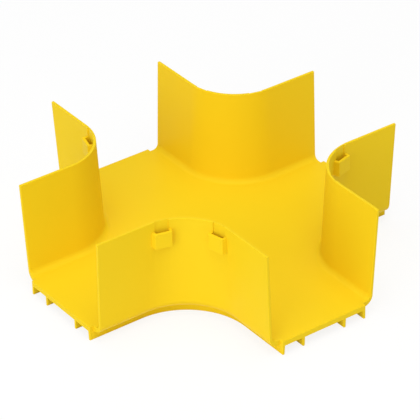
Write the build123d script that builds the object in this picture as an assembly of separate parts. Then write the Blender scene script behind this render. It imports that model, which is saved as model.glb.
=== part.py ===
from build123d import *
from math import cos, radians, sin, sqrt, tan
import os

# Four-way crossing piece of a fibre raceway, moulded in one piece, in millimetres.
# The origin is on the ground in the middle of the cross. The arms lie along X and Y
# and +Z is up. The piece stands on the lower edges of its ribs.

# Floor plate
floor_reach = 175.5
floor_thickness = 3.0

# Side walls: each one runs from one arm round a hollow corner into the next arm
channel_width = 120.0
wall_height = 101.0
wall_thickness = 2.8
wall_lean = 2.8
corner_radius = 57.0
foot_radius = 12.0
floor_fillet = 9.0
edge_break = 0.5
wall_setback = 4.2
wall_end_lean = 1.2

# Ribs under the floor
rib_depth = 12.0
rib_root = 3.0
rib_tip = 2.2
inner_rib_spacing = 48.0

# Loops on the outside of the corners that the latches of the cover drop into
loop_turn = 14.5
loop_width = 16.8
loop_height = 16.0
loop_drop = 10.5
loop_gap = 4.0
loop_plate = 2.6
loop_side = 1.6
loop_flare = 1.8
loop_edge_round = 0.8

# One overrun lets every cut pass clear of the face that it leaves
overrun = 5.0

# Places that follow from the sizes above. Heights here count from the ground,
# offsets from the middle line of an arm.
half_width = channel_width / 2
corner_centre = half_width + corner_radius
underside = rib_depth
floor_top = underside + floor_thickness
rim = underside + wall_height
lean_slope = tan(radians(wall_lean))
lean_sin = sin(radians(wall_lean))
lean_cos = cos(radians(wall_lean))
rim_offset = half_width + wall_height * lean_slope
wall_level_thickness = wall_thickness / lean_cos
foot_start = half_width - foot_radius * (1 - lean_sin) / lean_cos
quarter_turns = [0, 90, 180, 270]


def corner_line(offset, height):
    """Line that keeps one offset from two neighbouring arms, with the round corner between them."""
    return FilletPolyline(
        (floor_reach, offset, height),
        (offset, offset, height),
        (offset, floor_reach, height),
        radius=corner_centre - offset,
    )


def sweep_round_corner(section, offset, height):
    """Carry a section, drawn as (offset, height), round the corner between two arms."""
    section_plane = Plane(origin=(floor_reach, 0, 0), x_dir=(0, 1, 0), z_dir=(1, 0, 0))
    return sweep(section_plane * section, path=corner_line(offset, height))


def cross_plate(offset):
    """Flat cross with its four inner corners rounded about the same centres as the walls."""
    arms = Rectangle(2 * floor_reach, 2 * offset) + Rectangle(2 * offset, 2 * floor_reach)
    inner_corners = arms.vertices().sort_by_distance((0, 0, 0))[: len(quarter_turns)]
    return fillet(inner_corners, corner_centre - offset)


def wall_section():
    """Section of a wall: flat start, rounded foot, leaning side and rim with broken edges."""
    inner_foot = half_width + floor_thickness * lean_slope - wall_level_thickness
    rim_inside = rim_offset - wall_level_thickness
    break_shift = edge_break * lean_slope
    outline = FilletPolyline(
        (foot_start - rib_root, underside),
        (half_width, underside),
        (rim_offset - break_shift, rim - edge_break),
        (rim_offset - edge_break, rim),
        (rim_inside + edge_break, rim),
        (rim_inside - break_shift, rim - edge_break),
        (inner_foot, floor_top),
        (foot_start - rib_root, floor_top),
        radius=[0, foot_radius, 0, 0, 0, 0, floor_fillet, 0],
        close=True,
    )
    return make_face(outline)


def wall_end_plane(arm):
    """Leaning plane, across the arm along one axis, that two walls end on."""
    lean = radians(wall_end_lean)
    up = Axis.Z.direction
    foot = arm.direction * (floor_reach - wall_setback) + up * underside
    outwards = arm.direction * cos(lean) - up * sin(lean)
    return Plane(origin=foot, z_dir=outwards)


def corner_wall():
    """One wall from arm end to arm end, with the edges of its two ends broken like the rim."""
    wall = sweep_round_corner(wall_section(), half_width, underside)
    end_planes = [wall_end_plane(arm) for arm in [Axis.X, Axis.Y]]
    for end_plane in end_planes:
        wall = split(wall, bisect_by=end_plane, keep=Keep.BOTTOM)
    end_edges = [wall.faces().filter_by(end_plane)[0].edges() for end_plane in end_planes]
    sharp_edges = [edge for edges in end_edges for edge in edges if edge.center().Z > floor_top]
    return chamfer(sharp_edges, edge_break)


def corner_rib():
    """Rib that follows a wall round the corner, with its upright side under the start of the foot."""
    section = Polyline(
        (foot_start, 0),
        (foot_start, floor_top),
        (foot_start - rib_root, floor_top),
        (foot_start - rib_root, underside),
        (foot_start - rib_tip, 0),
        close=True,
    )
    return sweep_round_corner(make_face(section), foot_start, underside)


def straight_rib():
    """Rib along one side of the middle of an arm, right through the crossing."""
    middle = inner_rib_spacing / 2
    section = Polyline(
        (middle - rib_tip / 2, 0),
        (middle + rib_tip / 2, 0),
        (middle + rib_root / 2, underside),
        (middle + rib_root / 2, floor_top),
        (middle - rib_root / 2, floor_top),
        (middle - rib_root / 2, underside),
        close=True,
    )
    end_plane = Plane(origin=(-floor_reach, 0, 0), x_dir=(0, 1, 0), z_dir=(1, 0, 0))
    return extrude(end_plane * make_face(section), 2 * floor_reach)


# The back of each loop is a flat chord of the hollow wall, upright while the wall leans,
# so a tool can reach into the loop from above.
loop_top = rim - loop_drop
loop_bottom = loop_top - loop_height
wall_radius_at_loop = corner_radius - (loop_bottom - underside) * lean_slope
slot_width = loop_width - 2 * loop_side
chord_distance = sqrt(wall_radius_at_loop**2 - (slot_width / 2) ** 2)


def loop_block(width, near, far, low, high):
    """Upright block in front of the corner centre, from a near to a far distance along +X."""
    plan = Pos((near + far) / 2, 0, low) * Rectangle(far - near, width)
    return extrude(plan, high - low)


def latch_loop():
    """Strap that stands off the wall on two sides that spread towards it, open above and below."""
    front = chord_distance - loop_gap - loop_plate
    back = chord_distance + wall_thickness / 3
    half_front = loop_width / 2
    half_back = half_front + loop_flare
    plan = Polyline(
        (front, -half_front), (back, -half_back), (back, half_back), (front, half_front), close=True
    )
    strap = extrude(Pos(0, 0, loop_bottom) * make_face(plan), loop_height)
    front_edges = strap.edges().filter_by(Axis.Z).group_by(Axis.X)[0]
    return fillet(front_edges, loop_edge_round)


def latch_loop_cut():
    """Space for the latch: the slot inside the strap and, as wide, the flat above it up to the rim."""
    slot_front = chord_distance - loop_gap
    return loop_block(slot_width, slot_front, chord_distance, loop_bottom - overrun, rim + overrun)


def on_corner(shape, angle):
    """Turn a shape about the corner centre so that it faces it at an angle from the X direction."""
    return Pos(corner_centre, corner_centre, 0) * Rot(0, 0, 180 + angle) * shape


def raceway_cross():
    """Floor, ribs, walls and loops as one moulding."""
    body = extrude(Pos(0, 0, underside) * cross_plate(foot_start), floor_thickness)
    loop_angles = [loop_turn, 90 - loop_turn]
    for turn in quarter_turns:
        body += Rot(0, 0, turn) * corner_rib()
        body += Rot(0, 0, turn) * corner_wall()
        for angle in loop_angles:
            body += Rot(0, 0, turn) * on_corner(latch_loop(), angle)
    for turn in quarter_turns:
        body += Rot(0, 0, turn) * straight_rib()
        for angle in loop_angles:
            body -= Rot(0, 0, turn) * on_corner(latch_loop_cut(), angle)
    return body


os.makedirs("parts", exist_ok=True)
export_step(raceway_cross(), "parts/raceway_cross.step")
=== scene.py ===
"""Fibre raceway cross: one yellow plastic moulding, with the studio around it."""

from math import cos, pi, radians, sin, sqrt, tan
from types import SimpleNamespace

import bpy
from mathutils import Matrix, Vector


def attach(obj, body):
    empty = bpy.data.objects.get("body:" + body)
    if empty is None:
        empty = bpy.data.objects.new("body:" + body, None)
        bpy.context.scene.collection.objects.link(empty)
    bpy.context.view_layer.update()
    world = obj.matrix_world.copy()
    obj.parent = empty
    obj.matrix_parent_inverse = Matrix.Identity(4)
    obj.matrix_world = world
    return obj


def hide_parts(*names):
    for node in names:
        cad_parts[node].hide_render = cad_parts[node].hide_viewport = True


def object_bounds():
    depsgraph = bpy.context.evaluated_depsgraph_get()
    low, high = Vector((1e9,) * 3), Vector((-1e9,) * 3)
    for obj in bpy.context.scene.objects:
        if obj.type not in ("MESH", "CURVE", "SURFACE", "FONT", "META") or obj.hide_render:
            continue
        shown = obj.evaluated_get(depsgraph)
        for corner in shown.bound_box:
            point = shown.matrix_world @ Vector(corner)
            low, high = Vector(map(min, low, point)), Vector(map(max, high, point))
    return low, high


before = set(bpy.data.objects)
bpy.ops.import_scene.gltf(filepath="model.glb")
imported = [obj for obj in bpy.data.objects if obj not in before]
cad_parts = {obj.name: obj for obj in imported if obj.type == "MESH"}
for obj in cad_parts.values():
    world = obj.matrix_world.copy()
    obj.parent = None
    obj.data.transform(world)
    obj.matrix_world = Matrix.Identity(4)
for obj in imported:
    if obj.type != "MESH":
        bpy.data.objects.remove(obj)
CAD_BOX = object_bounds()

bl_info = {
    "name": "Fibre raceway cross",
    "version": (1, 0, 0),
    "blender": (4, 5, 0),
    "location": "View3D > Sidebar > Raceway",
    "description": "Builds the four-way cross of a fibre raceway and the studio around it",
    "category": "Object",
}

CAD_NODE = "raceway_cross"

# The cross has four alike quarters
QUARTERS = 4
QUARTER_TURN = pi / 2

# Edges that bend more than this are rounded, in so many steps
ROUNDED_BEND = radians(40)
ROUNDING_STEPS = 3

# Edges that bend more than this aren't shaded smooth
CRISP_BEND = radians(30)

# Digits of a metre to which the parts are rounded before they are joined
FLUSH_DIGITS = 7

# Points nearer to each other than this are one point, in metres
SEAM = 0.00001

# Height of the ground, and radius of a corner that stays sharp
GROUND = 0.0
SHARP = 0.0

# Fineness of the noise in the plastic's flow marks, sheen and grain
FLOW_DETAIL = 2.0
SHEEN_DETAIL = 3.0
GRAIN_DETAIL = 1.0

# Noise runs from 0 to 1, about this value
NOISE_MIDDLE = 0.5

# The mask of each kind of ray is 0 or 1, so a sum above this has one that is on
ANY_RAY = 0.5

WHITE = (1, 1, 1, 1)


# Settings that a user would change

def number(name, description, default, **more):
    return bpy.props.FloatProperty(name=name, description=description, default=default, **more)


def length(name, description, default):
    return number(name, description, default, unit="LENGTH", precision=4)


def angle(name, description, degrees):
    return number(name, description, radians(degrees), subtype="ANGLE")


def share(name, description, default):
    return number(name, description, default, min=0, max=1, subtype="FACTOR")


def watts(name, description, default):
    return number(name, description, default, min=0, unit="POWER")


def steps(name, description, default):
    return bpy.props.IntProperty(name=name, description=description, default=default, min=1)


def position(name, description, default):
    return bpy.props.FloatVectorProperty(
        name=name, description=description, default=default, subtype="TRANSLATION"
    )


def colour(name, description, default):
    return bpy.props.FloatVectorProperty(
        name=name,
        description=description,
        default=(*default, 1),
        size=4,
        min=0,
        max=1,
        subtype="COLOR",
    )


class RacewaySizes(bpy.types.PropertyGroup):
    """Sizes of the floor, the walls and the ribs."""

    arm_reach: length("Arm reach", "From the middle of the cross to an arm's end", CAD_BOX[1].x)
    rim_height: length("Rim height", "From the ground to the top of the walls", CAD_BOX[1].z)
    channel_width: length("Channel width", "Across an arm, outside the foot of its walls", 0.1197)
    wall_thickness: length("Wall thickness", "Thickness of the side walls", 0.0028)
    wall_lean: angle("Wall lean", "How far the walls lean outwards", 2.8)
    corner_radius: length("Corner radius", "Radius of the hollow corners at their foot", 0.05715)
    foot_radius: length("Foot radius", "Rounding outside, where a wall meets the floor", 0.0105)
    floor_fillet: length("Floor fillet", "Fillet inside, where a wall meets the floor", 0.006)
    floor_thickness: length("Floor thickness", "Thickness of the floor plate", 0.0057)
    wall_setback: length("Wall setback", "How far the walls end before the floor does", 0.00425)
    wall_end_lean: angle("Wall end lean", "How far the ends of the walls lean outwards", 1.2)
    rib_depth: length("Rib depth", "How far the ribs stand down from the floor", 0.0093)
    rib_root: length("Rib root", "Thickness of a rib at the floor", 0.003)
    rib_tip: length("Rib tip", "Thickness of a rib at its lower edge", 0.0022)
    rib_spacing: length("Rib spacing", "Between the two inner ribs of an arm", 0.048)
    rib_inset: length("Rib inset", "From the outside of a wall's foot in to its rib", 0.0113)
    edge_round: length("Edge round", "Rounding of the sharp edges", 0.0005)
    arc_steps: steps("Arc steps", "Straight pieces in the round corner of a wall", 40)
    fillet_steps: steps("Fillet steps", "Straight pieces in a small round edge", 10)


class LoopSizes(bpy.types.PropertyGroup):
    """Sizes of the loops that the latches of the cover drop into."""

    turn: angle("Turn", "Angle between the middle of a loop and the end of its round corner", 14.5)
    width: length("Width", "Across a loop", 0.0168)
    height: length("Height", "From the lower to the upper edge of a loop", 0.016)
    drop: length("Drop", "From the rim down to the upper edge of a loop", 0.0105)
    gap: length("Gap", "Depth of the slot between wall and strap", 0.004)
    plate: length("Plate", "Thickness of the strap in front", 0.0026)
    side: length("Side", "Thickness of the strap at its sides", 0.0016)
    flare: length("Flare", "How far each side of the strap spreads towards the wall", 0.0018)
    front_round: length("Front round", "Rounding of the upright front edges", 0.0008)
    edge_round: length("Edge round", "Rounding of the other edges", 0.0003)


class PlasticLook(bpy.types.PropertyGroup):
    """Colour and finish of the moulded plastic."""

    main: colour("Colour", "Main colour of the plastic", (0.93, 0.67, 0.016))
    flow: colour("Flow colour", "Colour of the soft flow marks", (0.915, 0.645, 0.014))
    flow_size: length("Flow size", "Size of the soft flow marks", 0.07)
    roughness: share("Roughness", "Mean roughness of the surface", 0.45)
    roughness_spread: share("Roughness spread", "How far the roughness varies", 0.1)
    sheen_size: length("Sheen size", "Size of the patches where the roughness varies", 0.02)
    grain_size: length("Grain size", "Size of the moulded grain", 0.0009)
    grain_height: length("Grain height", "Height of the moulded grain", 0.000015)
    specular: share("Specular level", "Strength of the reflections", 0.05)


class StudioSettings(bpy.types.PropertyGroup):
    """Camera, floor and light."""

    azimuth: angle("Azimuth", "Turn of the camera round the object", -35.644)
    elevation: angle("Elevation", "Height of the camera above the horizon", 32.731)
    roll: angle("Roll", "Turn of the camera about its own axis", -1.156)
    distance: length("Distance", "From the camera to the point that it looks at", 2.7341)
    target: position("Target", "Point that the camera looks at", (0.00082, 0.00318, 0.048))
    lens: number("Lens", "Focal length in millimetres", 244.63, unit="CAMERA")
    sensor: number("Sensor", "Width of the sensor in millimetres", 36, unit="CAMERA")
    floor_size: length("Floor size", "Side of the square floor", 10)
    floor_tone: colour("Floor tone", "Colour of the floor as the object sees it", (0.9, 0.9, 0.9))
    floor_glow: share("Floor glow", "Share of plain white in the floor that the camera sees", 0.85)
    ambient: number("Ambient", "Strength of the even light from all sides", 0.49, min=0)
    lamp_size: length("Lamp size", "Side of each square lamp", 1.6)
    key_power: watts("Key power", "Power of the lamp above the camera", 15)
    key_spot: position("Key spot", "Place of the lamp above the camera", (-0.53, -0.92, 2.27))
    fill_power: watts("Fill power", "Power of the low lamp at the left", 19.3)
    fill_spot: position("Fill spot", "Place of the low lamp at the left", (-2.21, -0.8, 0.86))
    top_power: watts("Top power", "Power of the lamp straight above the object", 15.8)
    top_spot: position("Top spot", "Place of the lamp straight above the object", (0, 0, 2.5))


# Node trees

class Socket:
    """Output of a node. Arithmetic and comparison on it add Math nodes to its tree."""

    def __init__(self, tree, output):
        self.tree = tree
        self.output = output

    def maths(self, operation, first, second):
        return self.tree.add("ShaderNodeMath", {"operation": operation}, {0: first, 1: second})

    def __add__(self, other):
        return self.maths("ADD", self, other)

    def __sub__(self, other):
        return self.maths("SUBTRACT", self, other)

    def __rsub__(self, other):
        return self.maths("SUBTRACT", other, self)

    def __mul__(self, other):
        return self.maths("MULTIPLY", self, other)

    def __truediv__(self, other):
        return self.maths("DIVIDE", self, other)

    def __gt__(self, other):
        return self.maths("GREATER_THAN", self, other)

    def __neg__(self):
        return 0 - self

    __radd__ = __add__
    __rmul__ = __mul__


class Tree:
    """Node tree that is built by calls."""

    def __init__(self, tree):
        self.tree = tree

    def node(self, kind, settings=None, values=None):
        """Add a node, set it up and then feed its sockets."""
        node = self.tree.nodes.new(kind)
        for name, value in (settings or {}).items():
            self.set_up(node, name, value)
        for key, value in (values or {}).items():
            self.feed(self.find(node.inputs, key), value)
        return node

    def add(self, kind, settings=None, values=None, output=0):
        """Add a node and return one of its outputs."""
        return Socket(self, self.find(self.node(kind, settings, values).outputs, output))

    def set_up(self, node, name, value):
        """Set a property of a node, or fill a list of its items up to a number."""
        items = getattr(node, name)
        if isinstance(items, bpy.types.bpy_prop_collection):
            while len(items) < value:
                items.new()
        else:
            setattr(node, name, value)

    def find(self, sockets, key):
        """Socket by its place in the list or by its name."""
        if isinstance(key, int):
            return sockets[key]
        return next(socket for socket in sockets if socket.enabled and socket.name == key)

    def feed(self, socket, value):
        """Give a socket its value, its link or, where it takes several, its links."""
        if isinstance(value, list):
            for each in value:
                self.tree.links.new(each.output, socket)
        elif isinstance(value, Socket):
            self.tree.links.new(value.output, socket)
        else:
            socket.default_value = value

    def point(self, x, y, z=0.0):
        return self.add("ShaderNodeCombineXYZ", {}, {"X": x, "Y": y, "Z": z})


class ShapeTree(Tree):
    """Geometry Nodes tree whose named inputs are the sizes that its shape follows."""

    SOCKET_KINDS = {
        float: "NodeSocketFloat",
        int: "NodeSocketInt",
        bpy.types.Object: "NodeSocketObject",
    }

    def __init__(self, name, **sizes):
        super().__init__(bpy.data.node_groups.new(name, "GeometryNodeTree"))
        interface = self.tree.interface
        self.values = {}
        for label, value in sizes.items():
            title = label.replace("_", " ").capitalize()
            kind = self.SOCKET_KINDS[type(value)]
            socket = interface.new_socket(title, in_out="INPUT", socket_type=kind)
            self.values[socket.identifier] = value
        interface.new_socket("Geometry", in_out="OUTPUT", socket_type="NodeSocketGeometry")
        inlet = self.node("NodeGroupInput")
        self.given = SimpleNamespace(
            **{label: Socket(self, output) for label, output in zip(sizes, inlet.outputs)}
        )

    def choose(self, kind, values):
        """Field that gives the first element the first value, the second the second, and so on."""
        settings = {"data_type": kind, "index_switch_items": len(values)}
        inputs = {str(place): value for place, value in enumerate(values)}
        inputs["Index"] = self.add("GeometryNodeInputIndex")
        return self.add("GeometryNodeIndexSwitch", settings, inputs)

    def outline(self, corners, fillet_steps=1, closed=True):
        """Curve through corners given as (x, y, radius), with each radius as an arc in steps."""
        spots = self.choose("VECTOR", [self.point(x, y) for x, y, _ in corners])
        radii = self.choose("FLOAT", [radius for *_, radius in corners])
        dots = self.add("GeometryNodeMeshLine", {}, {"Count": len(corners)})
        line = self.add("GeometryNodeSetPosition", {}, {"Geometry": dots, "Position": spots})
        curve = self.add("GeometryNodeMeshToCurve", {}, {"Mesh": line})
        curve = self.add("GeometryNodeSetSplineCyclic", {}, {"Geometry": curve, "Cyclic": closed})
        return self.add(
            "GeometryNodeFilletCurve", {"mode": "POLY"},
            {"Curve": curve, "Count": fillet_steps, "Radius": radii},
        )

    def sweep(self, section, path):
        """Solid that a section makes along a path, closed at both ends."""
        path = self.add("GeometryNodeSetCurveNormal", {"mode": "Z_UP"}, {"Curve": path})
        return self.add(
            "GeometryNodeCurveToMesh", {},
            {"Curve": path, "Profile Curve": section, "Fill Caps": True},
        )

    def level_sweep(self, base, corners, path, fillet_steps=1):
        """Sweep of a section of (offset, height, radius) along a level path at the offset base."""
        # Along a level path, the second axis of a section points down
        section = [
            (offset - base, -height, radius) for offset, height, radius in reversed(corners)
        ]
        return self.sweep(self.outline(section, fillet_steps), path)

    def corner_path(self, reach, offset, centre, arc_steps):
        """Line at one offset from two neighbouring arms, with the round corner between them."""
        corners = [
            (reach, offset, SHARP),
            (offset, offset, centre - offset),
            (offset, reach, SHARP),
        ]
        return self.outline(corners, arc_steps, closed=False)

    def line(self, start, end):
        return self.add("GeometryNodeCurvePrimitiveLine", {}, {"Start": start, "End": end})

    def prism(self, plan, low, high):
        """Upright solid over a plan outline, between two heights."""
        return self.sweep(plan, self.line(self.point(0.0, 0.0, low), self.point(0.0, 0.0, high)))

    def turned(self, shape, spot, turns):
        """Copies of a shape at one spot, each with its own turn about the upright axis."""
        points = self.add("GeometryNodePoints", {}, {"Count": len(turns), "Position": spot})
        turn = self.add(
            "FunctionNodeAxisAngleToRotation", {}, {"Angle": self.choose("FLOAT", turns)}
        )
        return self.add(
            "GeometryNodeInstanceOnPoints", {},
            {"Points": points, "Instance": shape, "Rotation": turn},
        )

    def real(self, shape):
        return self.add("GeometryNodeRealizeInstances", {}, {"Geometry": shape})

    def finish(self, shape, material):
        """Close the tree with the shape as real mesh in its material."""
        finished = self.add(
            "GeometryNodeSetMaterial", {}, {"Geometry": self.real(shape), "Material": material}
        )
        self.node("NodeGroupOutput", {}, {"Geometry": finished})


# From trees to plain meshes

def grow(tree, name):
    """New object whose mesh comes from a tree."""
    piece = bpy.data.objects.new(name, bpy.data.meshes.new(name))
    bpy.context.scene.collection.objects.link(piece)
    nodes = piece.modifiers.new("Shape", "NODES")
    nodes.node_group = tree.tree
    for identifier, value in tree.values.items():
        nodes[identifier] = value
    return piece


def round_edges(piece, radius):
    """Round the sharp edges of a piece."""
    bevel = piece.modifiers.new("Edges", "BEVEL")
    bevel.width = radius
    bevel.segments = ROUNDING_STEPS
    bevel.limit_method = "ANGLE"
    bevel.angle_limit = ROUNDED_BEND
    bevel.use_clamp_overlap = False


def settle(piece):
    """Turn what the modifiers of a piece make into its plain mesh."""
    graph = bpy.context.evaluated_depsgraph_get()
    mesh = bpy.data.meshes.new_from_object(piece.evaluated_get(graph))
    if not mesh.polygons:
        raise RuntimeError(f"{piece.name} came out empty")
    piece.modifiers.clear()
    piece.data = mesh


def make_flush(part):
    """Round the places of a part's points, so that faces meant to lie in one plane do so."""
    for vertex in part.data.vertices:
        vertex.co = [round(value, FLUSH_DIGITS) for value in vertex.co]


# Parts of the moulding

def places(size):
    """Places that follow from the sizes: heights from the ground, offsets from an arm's middle."""
    slope = tan(size.wall_lean)
    half_width = size.channel_width / 2
    level_thickness = size.wall_thickness / cos(size.wall_lean)
    rim_offset = half_width + (size.rim_height - size.rib_depth) * slope
    floor_top = size.rib_depth + size.floor_thickness
    floor_middle = size.rib_depth + size.floor_thickness / 2
    rib_outside = half_width - size.rib_inset
    rib_flare = (size.rib_root - size.rib_tip) / size.rib_depth
    return SimpleNamespace(
        slope=slope,
        half_width=half_width,
        corner_centre=half_width + size.corner_radius,
        floor_top=floor_top,
        floor_middle=floor_middle,
        rim_offset=rim_offset,
        rim_inside=rim_offset - level_thickness,
        inner_foot=half_width + size.floor_thickness * slope - level_thickness,
        rib_outside=rib_outside,
        # Floor and walls overlap in the middle third of the corner rib
        floor_edge=rib_outside - size.rib_root / 3,
        wall_start=rib_outside - size.rib_root * 2 / 3,
        # The ribs go on widening up into the floor
        corner_rib_width=size.rib_tip + rib_flare * floor_top,
        straight_rib_width=size.rib_tip + rib_flare * floor_middle,
    )


def loop_places(size, place, loop):
    """Heights of the loops and of their latch spaces, and distances from the corner centre."""
    top = size.rim_height - loop.drop
    bottom = top - loop.height
    wall_radius = size.corner_radius - (bottom - size.rib_depth) * place.slope
    half_slot = loop.width / 2 - loop.side
    back = sqrt(wall_radius**2 - half_slot**2)
    slot_front = back - loop.gap
    overrun = size.wall_thickness
    return SimpleNamespace(
        top=top,
        bottom=bottom,
        half_slot=half_slot,
        front=slot_front - loop.plate,
        slot_front=slot_front,
        back=back,
        # The sides of a loop reach a third into the wall
        inside_wall=back + size.wall_thickness / 3,
        cut_low=bottom - overrun,
        cut_high=size.rim_height + overrun,
    )


def floor_plate(size, place, material):
    """Flat cross with rounded inner corners, whose long edges end inside the corner ribs."""
    tree = ShapeTree(
        "Floor plate",
        reach=size.arm_reach,
        offset=place.floor_edge,
        corner_centre=place.corner_centre,
        underside=size.rib_depth,
        top=place.floor_top,
        arc_steps=size.arc_steps,
    )
    given = tree.given
    corner_radius = given.corner_centre - given.offset
    quarter = [
        (given.reach, -given.offset, SHARP),
        (given.reach, given.offset, SHARP),
        (given.offset, given.offset, corner_radius),
    ]
    corners = []
    for _ in range(QUARTERS):
        corners += quarter
        quarter = [(-y, x, radius) for x, y, radius in quarter]
    plan = tree.outline(corners, given.arc_steps)
    tree.finish(tree.prism(plan, given.underside, given.top), material)
    return grow(tree, "Floor plate")


def wall(size, place, material):
    """Wall round one corner: flat start inside the rib, rounded foot, leaning side and ends."""
    tree = ShapeTree(
        "Wall",
        reach=size.arm_reach - size.wall_setback,
        start=place.wall_start,
        foot=place.half_width,
        inner_foot=place.inner_foot,
        rim_offset=place.rim_offset,
        rim_inside=place.rim_inside,
        underside=size.rib_depth,
        floor_top=place.floor_top,
        rim_height=size.rim_height,
        foot_radius=size.foot_radius,
        floor_fillet=size.floor_fillet,
        corner_centre=place.corner_centre,
        end_slope=tan(size.wall_end_lean),
        arc_steps=size.arc_steps,
        fillet_steps=size.fillet_steps,
    )
    given = tree.given
    section = [
        (given.start, given.underside, SHARP),
        (given.foot, given.underside, given.foot_radius),
        (given.rim_offset, given.rim_height, SHARP),
        (given.rim_inside, given.rim_height, SHARP),
        (given.inner_foot, given.floor_top, given.floor_fillet),
        (given.start, given.floor_top, SHARP),
    ]
    path = tree.corner_path(given.reach, given.foot, given.corner_centre, given.arc_steps)
    shape = tree.level_sweep(given.foot, section, path, given.fillet_steps)
    # The points past the middle of a straight run are those of the wall's end
    spot = tree.add("GeometryNodeInputPosition")
    x, y, z = (tree.add("ShaderNodeSeparateXYZ", {}, {"Vector": spot}, axis) for axis in "XYZ")
    run_middle = (given.reach + given.corner_centre) / 2
    lean = (z - given.underside) * given.end_slope
    shift = tree.point((x > run_middle) * lean, (y > run_middle) * lean)
    leaning = tree.add("GeometryNodeSetPosition", {}, {"Geometry": shape, "Offset": shift})
    tree.finish(leaning, material)
    return grow(tree, "Wall")


def corner_rib(size, place, material):
    """Rib that follows a wall round its corner and carries the edge of the floor."""
    tree = ShapeTree(
        "Corner rib",
        reach=size.arm_reach,
        outside=place.rib_outside,
        tip=size.rib_tip,
        top_width=place.corner_rib_width,
        top=place.floor_top,
        corner_centre=place.corner_centre,
        arc_steps=size.arc_steps,
    )
    given = tree.given
    section = [
        (given.outside, GROUND, SHARP),
        (given.outside, given.top, SHARP),
        (given.outside - given.top_width, given.top, SHARP),
        (given.outside - given.tip, GROUND, SHARP),
    ]
    path = tree.corner_path(given.reach, given.outside, given.corner_centre, given.arc_steps)
    tree.finish(tree.level_sweep(given.outside, section, path), material)
    return grow(tree, "Corner rib")


def straight_rib(size, place, material):
    """Rib beside the middle line of an arm, right through the crossing and up into the floor."""
    tree = ShapeTree(
        "Straight rib",
        reach=size.arm_reach,
        offset=size.rib_spacing / 2,
        half_tip=size.rib_tip / 2,
        half_top=place.straight_rib_width / 2,
        top=place.floor_middle,
    )
    given = tree.given
    section = [
        (given.offset - given.half_tip, GROUND, SHARP),
        (given.offset + given.half_tip, GROUND, SHARP),
        (given.offset + given.half_top, given.top, SHARP),
        (given.offset - given.half_top, given.top, SHARP),
    ]
    path = tree.line(tree.point(given.reach, given.offset), tree.point(-given.reach, given.offset))
    tree.finish(tree.level_sweep(given.offset, section, path), material)
    return grow(tree, "Straight rib")


def latch_loop(size, loop, at, material):
    """Block of a latch loop, before its slot is cut, from inside the wall to its rounded front."""
    tree = ShapeTree(
        "Latch loop",
        front=at.front,
        back=at.inside_wall,
        half_width=loop.width / 2,
        flare=loop.flare,
        bottom=at.bottom,
        top=at.top,
        front_round=loop.front_round,
        fillet_steps=size.fillet_steps,
    )
    given = tree.given
    plan = [
        (given.front, -given.half_width, given.front_round),
        (given.back, -(given.half_width + given.flare), SHARP),
        (given.back, given.half_width + given.flare, SHARP),
        (given.front, given.half_width, given.front_round),
    ]
    outline = tree.outline(plan, given.fillet_steps)
    tree.finish(tree.prism(outline, given.bottom, given.top), material)
    return grow(tree, "Latch loop")


def latch_space(at, material):
    """Block that is cut out for a latch: the slot in a loop and the flat from there to the rim."""
    tree = ShapeTree(
        "Latch space",
        front=at.slot_front,
        back=at.back,
        half_width=at.half_slot,
        low=at.cut_low,
        high=at.cut_high,
    )
    given = tree.given
    plan = [
        (given.front, -given.half_width, SHARP),
        (given.back, -given.half_width, SHARP),
        (given.back, given.half_width, SHARP),
        (given.front, given.half_width, SHARP),
    ]
    tree.finish(tree.prism(tree.outline(plan), given.low, given.high), material)
    return grow(tree, "Latch space")


def joined_cross(parts, place, loop, material):
    """All parts at their places, joined into one moulding, with the latch spaces cut out."""
    tree = ShapeTree("Moulding", corner_centre=place.corner_centre, loop_turn=loop.turn, **parts)
    given = tree.given
    middle = tree.point(0.0, 0.0)
    corner = tree.point(given.corner_centre, given.corner_centre)
    quarter_turns = [turn * QUARTER_TURN for turn in range(QUARTERS)]
    # From the corner centre, the two loops lie back towards the arms
    loop_turns = [given.loop_turn + 2 * QUARTER_TURN, 3 * QUARTER_TURN - given.loop_turn]

    def shape(part):
        return tree.add("GeometryNodeObjectInfo", {}, {"Object": part}, "Geometry")

    def four(geometry):
        return tree.turned(geometry, middle, quarter_turns)

    def eight(part):
        return four(tree.real(tree.turned(shape(part), corner, loop_turns)))

    def join(operation, values):
        settings = {"operation": operation, "solver": "MANIFOLD"}
        return tree.add("GeometryNodeMeshBoolean", settings, values)

    fours = (given.wall, given.corner_rib, given.straight_rib)
    solids = [shape(given.plate), eight(given.loop), *(four(shape(part)) for part in fours)]
    body = join("UNION", {"Mesh": solids})
    body = join("DIFFERENCE", {"Mesh 1": body, "Mesh 2": eight(given.space)})
    body = tree.add("GeometryNodeMergeByDistance", {}, {"Geometry": body, "Distance": SEAM})
    smooth = tree.add("GeometryNodeSetShadeSmooth", {"domain": "FACE"}, {"Geometry": body})
    bend = tree.add("GeometryNodeInputMeshEdgeAngle", {}, {}, "Unsigned Angle")
    crisp = tree.add(
        "GeometryNodeSetShadeSmooth", {"domain": "EDGE"},
        {"Geometry": smooth, "Selection": bend > CRISP_BEND, "Shade Smooth": False},
    )
    tree.finish(crisp, material)
    return grow(tree, "raceway_moulding")


# Materials

def shader_tree(owner):
    """Emptied tree of a material or a world."""
    owner.use_nodes = True
    owner.node_tree.nodes.clear()
    return Tree(owner.node_tree)


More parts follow.
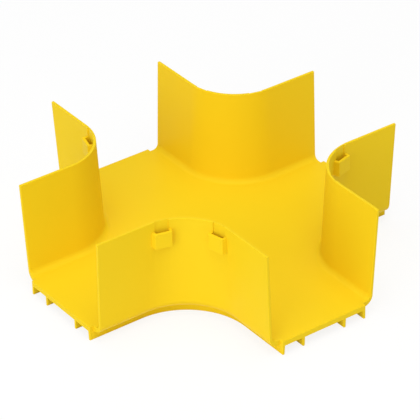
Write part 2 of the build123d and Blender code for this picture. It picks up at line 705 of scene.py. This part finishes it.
def yellow_plastic(look):
    """Satin moulded plastic: soft flow marks, slightly uneven sheen and fine grain."""
    material = bpy.data.materials.new("Yellow plastic")
    tree = shader_tree(material)
    spot = tree.add("ShaderNodeTexCoord", {}, {}, "Object")

    def noise(size, detail):
        values = {"Vector": spot, "Scale": 1 / size, "Detail": detail}
        return tree.add("ShaderNodeTexNoise", {}, values)

    flow = tree.add(
        "ShaderNodeMix", {"data_type": "RGBA"},
        {"Factor": noise(look.flow_size, FLOW_DETAIL), "A": look.main, "B": look.flow}, "Result",
    )
    unevenness = noise(look.sheen_size, SHEEN_DETAIL) - NOISE_MIDDLE
    sheen = look.roughness + look.roughness_spread / NOISE_MIDDLE * unevenness
    grain = tree.add(
        "ShaderNodeBump", {},
        {
            "Height": noise(look.grain_size, GRAIN_DETAIL),
            "Distance": look.grain_height,
            "Strength": 1.0,
        },
    )
    plastic = tree.add(
        "ShaderNodeBsdfPrincipled", {},
        {
            "Base Color": flow,
            "Roughness": sheen,
            "Specular IOR Level": look.specular,
            "Normal": grain,
        },
    )
    tree.node("ShaderNodeOutputMaterial", {}, {"Surface": plastic})
    return material


def seen_rays(tree):
    """1 for rays from the camera and for mirrored and refracted ones, 0 for rays of light."""
    camera, glossy, transmission = (
        tree.add("ShaderNodeLightPath", {}, {}, kind)
        for kind in ("Is Camera Ray", "Is Glossy Ray", "Is Transmission Ray")
    )
    return camera + glossy + transmission > ANY_RAY


def white_floor(studio):
    """Floor that looks white, keeps the object's shadow and gives back a plain grey light."""
    material = bpy.data.materials.new("White floor")
    tree = shader_tree(material)
    grey = tree.add("ShaderNodeBsdfDiffuse", {}, {"Color": studio.floor_tone})
    white = tree.add("ShaderNodeBsdfDiffuse", {}, {"Color": WHITE})
    glow = tree.add("ShaderNodeEmission", {}, {"Color": WHITE, "Strength": 1.0})
    shown = tree.add("ShaderNodeMixShader", {}, {0: studio.floor_glow, 1: white, 2: glow})
    both = tree.add("ShaderNodeMixShader", {}, {0: seen_rays(tree), 1: grey, 2: shown})
    tree.node("ShaderNodeOutputMaterial", {}, {"Surface": both})
    return material


# Operators

class RACEWAY_OT_cross(bpy.types.Operator):
    """Build the yellow moulding in place of its plain solid"""

    bl_idname = "raceway.cross"
    bl_label = "Build the raceway cross"

    def execute(self, context):
        size = context.scene.raceway_sizes
        loop = context.scene.raceway_loops
        material = yellow_plastic(context.scene.raceway_plastic)
        place = places(size)
        at = loop_places(size, place, loop)
        parts = {
            "plate": floor_plate(size, place, material),
            "wall": wall(size, place, material),
            "corner_rib": corner_rib(size, place, material),
            "straight_rib": straight_rib(size, place, material),
            "loop": latch_loop(size, loop, at, material),
            "space": latch_space(at, material),
        }
        for name in ("plate", "wall", "corner_rib", "straight_rib"):
            round_edges(parts[name], size.edge_round)
        round_edges(parts["loop"], loop.edge_round)
        for part in parts.values():
            settle(part)
            make_flush(part)
        piece = joined_cross(parts, place, loop, material)
        normals = piece.modifiers.new("Normals", "WEIGHTED_NORMAL")
        normals.keep_sharp = True
        settle(piece)
        for part in parts.values():
            bpy.data.objects.remove(part)
        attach(piece, "root")
        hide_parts(CAD_NODE)
        return {"FINISHED"}


class RACEWAY_OT_studio(bpy.types.Operator):
    """Set up the floor, the light and the camera"""

    bl_idname = "raceway.studio"
    bl_label = "Set up the studio"

    def execute(self, context):
        studio = context.scene.raceway_studio
        self.lay_floor(context, studio)
        self.light_world(context, studio)
        self.hang_lamp(context, "Key", studio.key_power, studio.key_spot, studio.lamp_size)
        self.hang_lamp(context, "Fill", studio.fill_power, studio.fill_spot, studio.lamp_size)
        self.hang_lamp(context, "Top", studio.top_power, studio.top_spot, studio.lamp_size)
        self.place_camera(context, studio)
        context.scene.view_settings.view_transform = "Standard"
        return {"FINISHED"}

    def lay_floor(self, context, studio):
        half = studio.floor_size / 2
        mesh = bpy.data.meshes.new("Floor")
        corners = [(-half, -half, 0), (half, -half, 0), (half, half, 0), (-half, half, 0)]
        mesh.from_pydata(corners, [], [(0, 1, 2, 3)])
        mesh.materials.append(white_floor(studio))
        floor = bpy.data.objects.new("Floor", mesh)
        context.scene.collection.objects.link(floor)

    def light_world(self, context, studio):
        """Even light from all sides, with plain white behind the object."""
        world = bpy.data.worlds.new("Studio")
        tree = shader_tree(world)
        light = tree.add("ShaderNodeBackground", {}, {"Color": WHITE, "Strength": studio.ambient})
        white = tree.add("ShaderNodeBackground", {}, {"Color": WHITE, "Strength": 1.0})
        both = tree.add("ShaderNodeMixShader", {}, {0: seen_rays(tree), 1: light, 2: white})
        tree.node("ShaderNodeOutputWorld", {}, {"Surface": both})
        context.scene.world = world

    def hang_lamp(self, context, name, power, spot, size):
        """Square lamp at a spot, turned towards the middle of the ground."""
        light = bpy.data.lights.new(name, "AREA")
        light.energy = power
        light.size = size
        lamp = bpy.data.objects.new(name, light)
        lamp.location = spot
        lamp.rotation_euler = lamp.location.to_track_quat("Z", "Y").to_euler()
        context.scene.collection.objects.link(lamp)

    def place_camera(self, context, studio):
        """Camera at the angle of the photograph, looking at its target."""
        turn, tilt, roll = studio.azimuth, studio.elevation, studio.roll
        back = Vector((sin(turn) * cos(tilt), -cos(turn) * cos(tilt), sin(tilt)))
        right = Vector((cos(turn), sin(turn), 0))
        level = Matrix((right, back.cross(right), back)).transposed()
        facing = level @ Matrix.Rotation(roll, 3, "Z")
        data = bpy.data.cameras.new("Camera")
        data.lens = studio.lens
        data.sensor_width = studio.sensor
        camera = bpy.data.objects.new("Camera", data)
        spot = Vector(studio.target) + back * studio.distance
        camera.matrix_world = Matrix.Translation(spot) @ facing.to_4x4()
        context.scene.collection.objects.link(camera)
        context.scene.camera = camera


class RACEWAY_PT_panel(bpy.types.Panel):
    """Panel with the settings and the two steps"""

    bl_label = "Raceway cross"
    bl_space_type = "VIEW_3D"
    bl_region_type = "UI"
    bl_category = "Raceway"

    def draw(self, context):
        layout = self.layout
        for name, (settings, title) in SETTINGS.items():
            box = layout.box()
            box.label(text=title)
            for key in settings.__annotations__:
                box.prop(getattr(context.scene, name), key)
        for operator in OPERATORS:
            layout.operator(operator.bl_idname)


SETTINGS = {
    "raceway_sizes": (RacewaySizes, "Moulding"),
    "raceway_loops": (LoopSizes, "Latch loops"),
    "raceway_plastic": (PlasticLook, "Plastic"),
    "raceway_studio": (StudioSettings, "Studio"),
}
OPERATORS = [RACEWAY_OT_studio, RACEWAY_OT_cross]


def register():
    for name, (settings, title) in SETTINGS.items():
        bpy.utils.register_class(settings)
        setattr(bpy.types.Scene, name, bpy.props.PointerProperty(type=settings, name=title))
    for operator in OPERATORS:
        bpy.utils.register_class(operator)
    bpy.utils.register_class(RACEWAY_PT_panel)


def unregister():
    bpy.utils.unregister_class(RACEWAY_PT_panel)
    for operator in reversed(OPERATORS):
        bpy.utils.unregister_class(operator)
    for name, (settings, _) in reversed(SETTINGS.items()):
        delattr(bpy.types.Scene, name)
        bpy.utils.unregister_class(settings)


def main():
    register()
    bpy.ops.raceway.studio()
    bpy.ops.raceway.cross()
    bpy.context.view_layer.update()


if __name__ == "__main__":
    main()
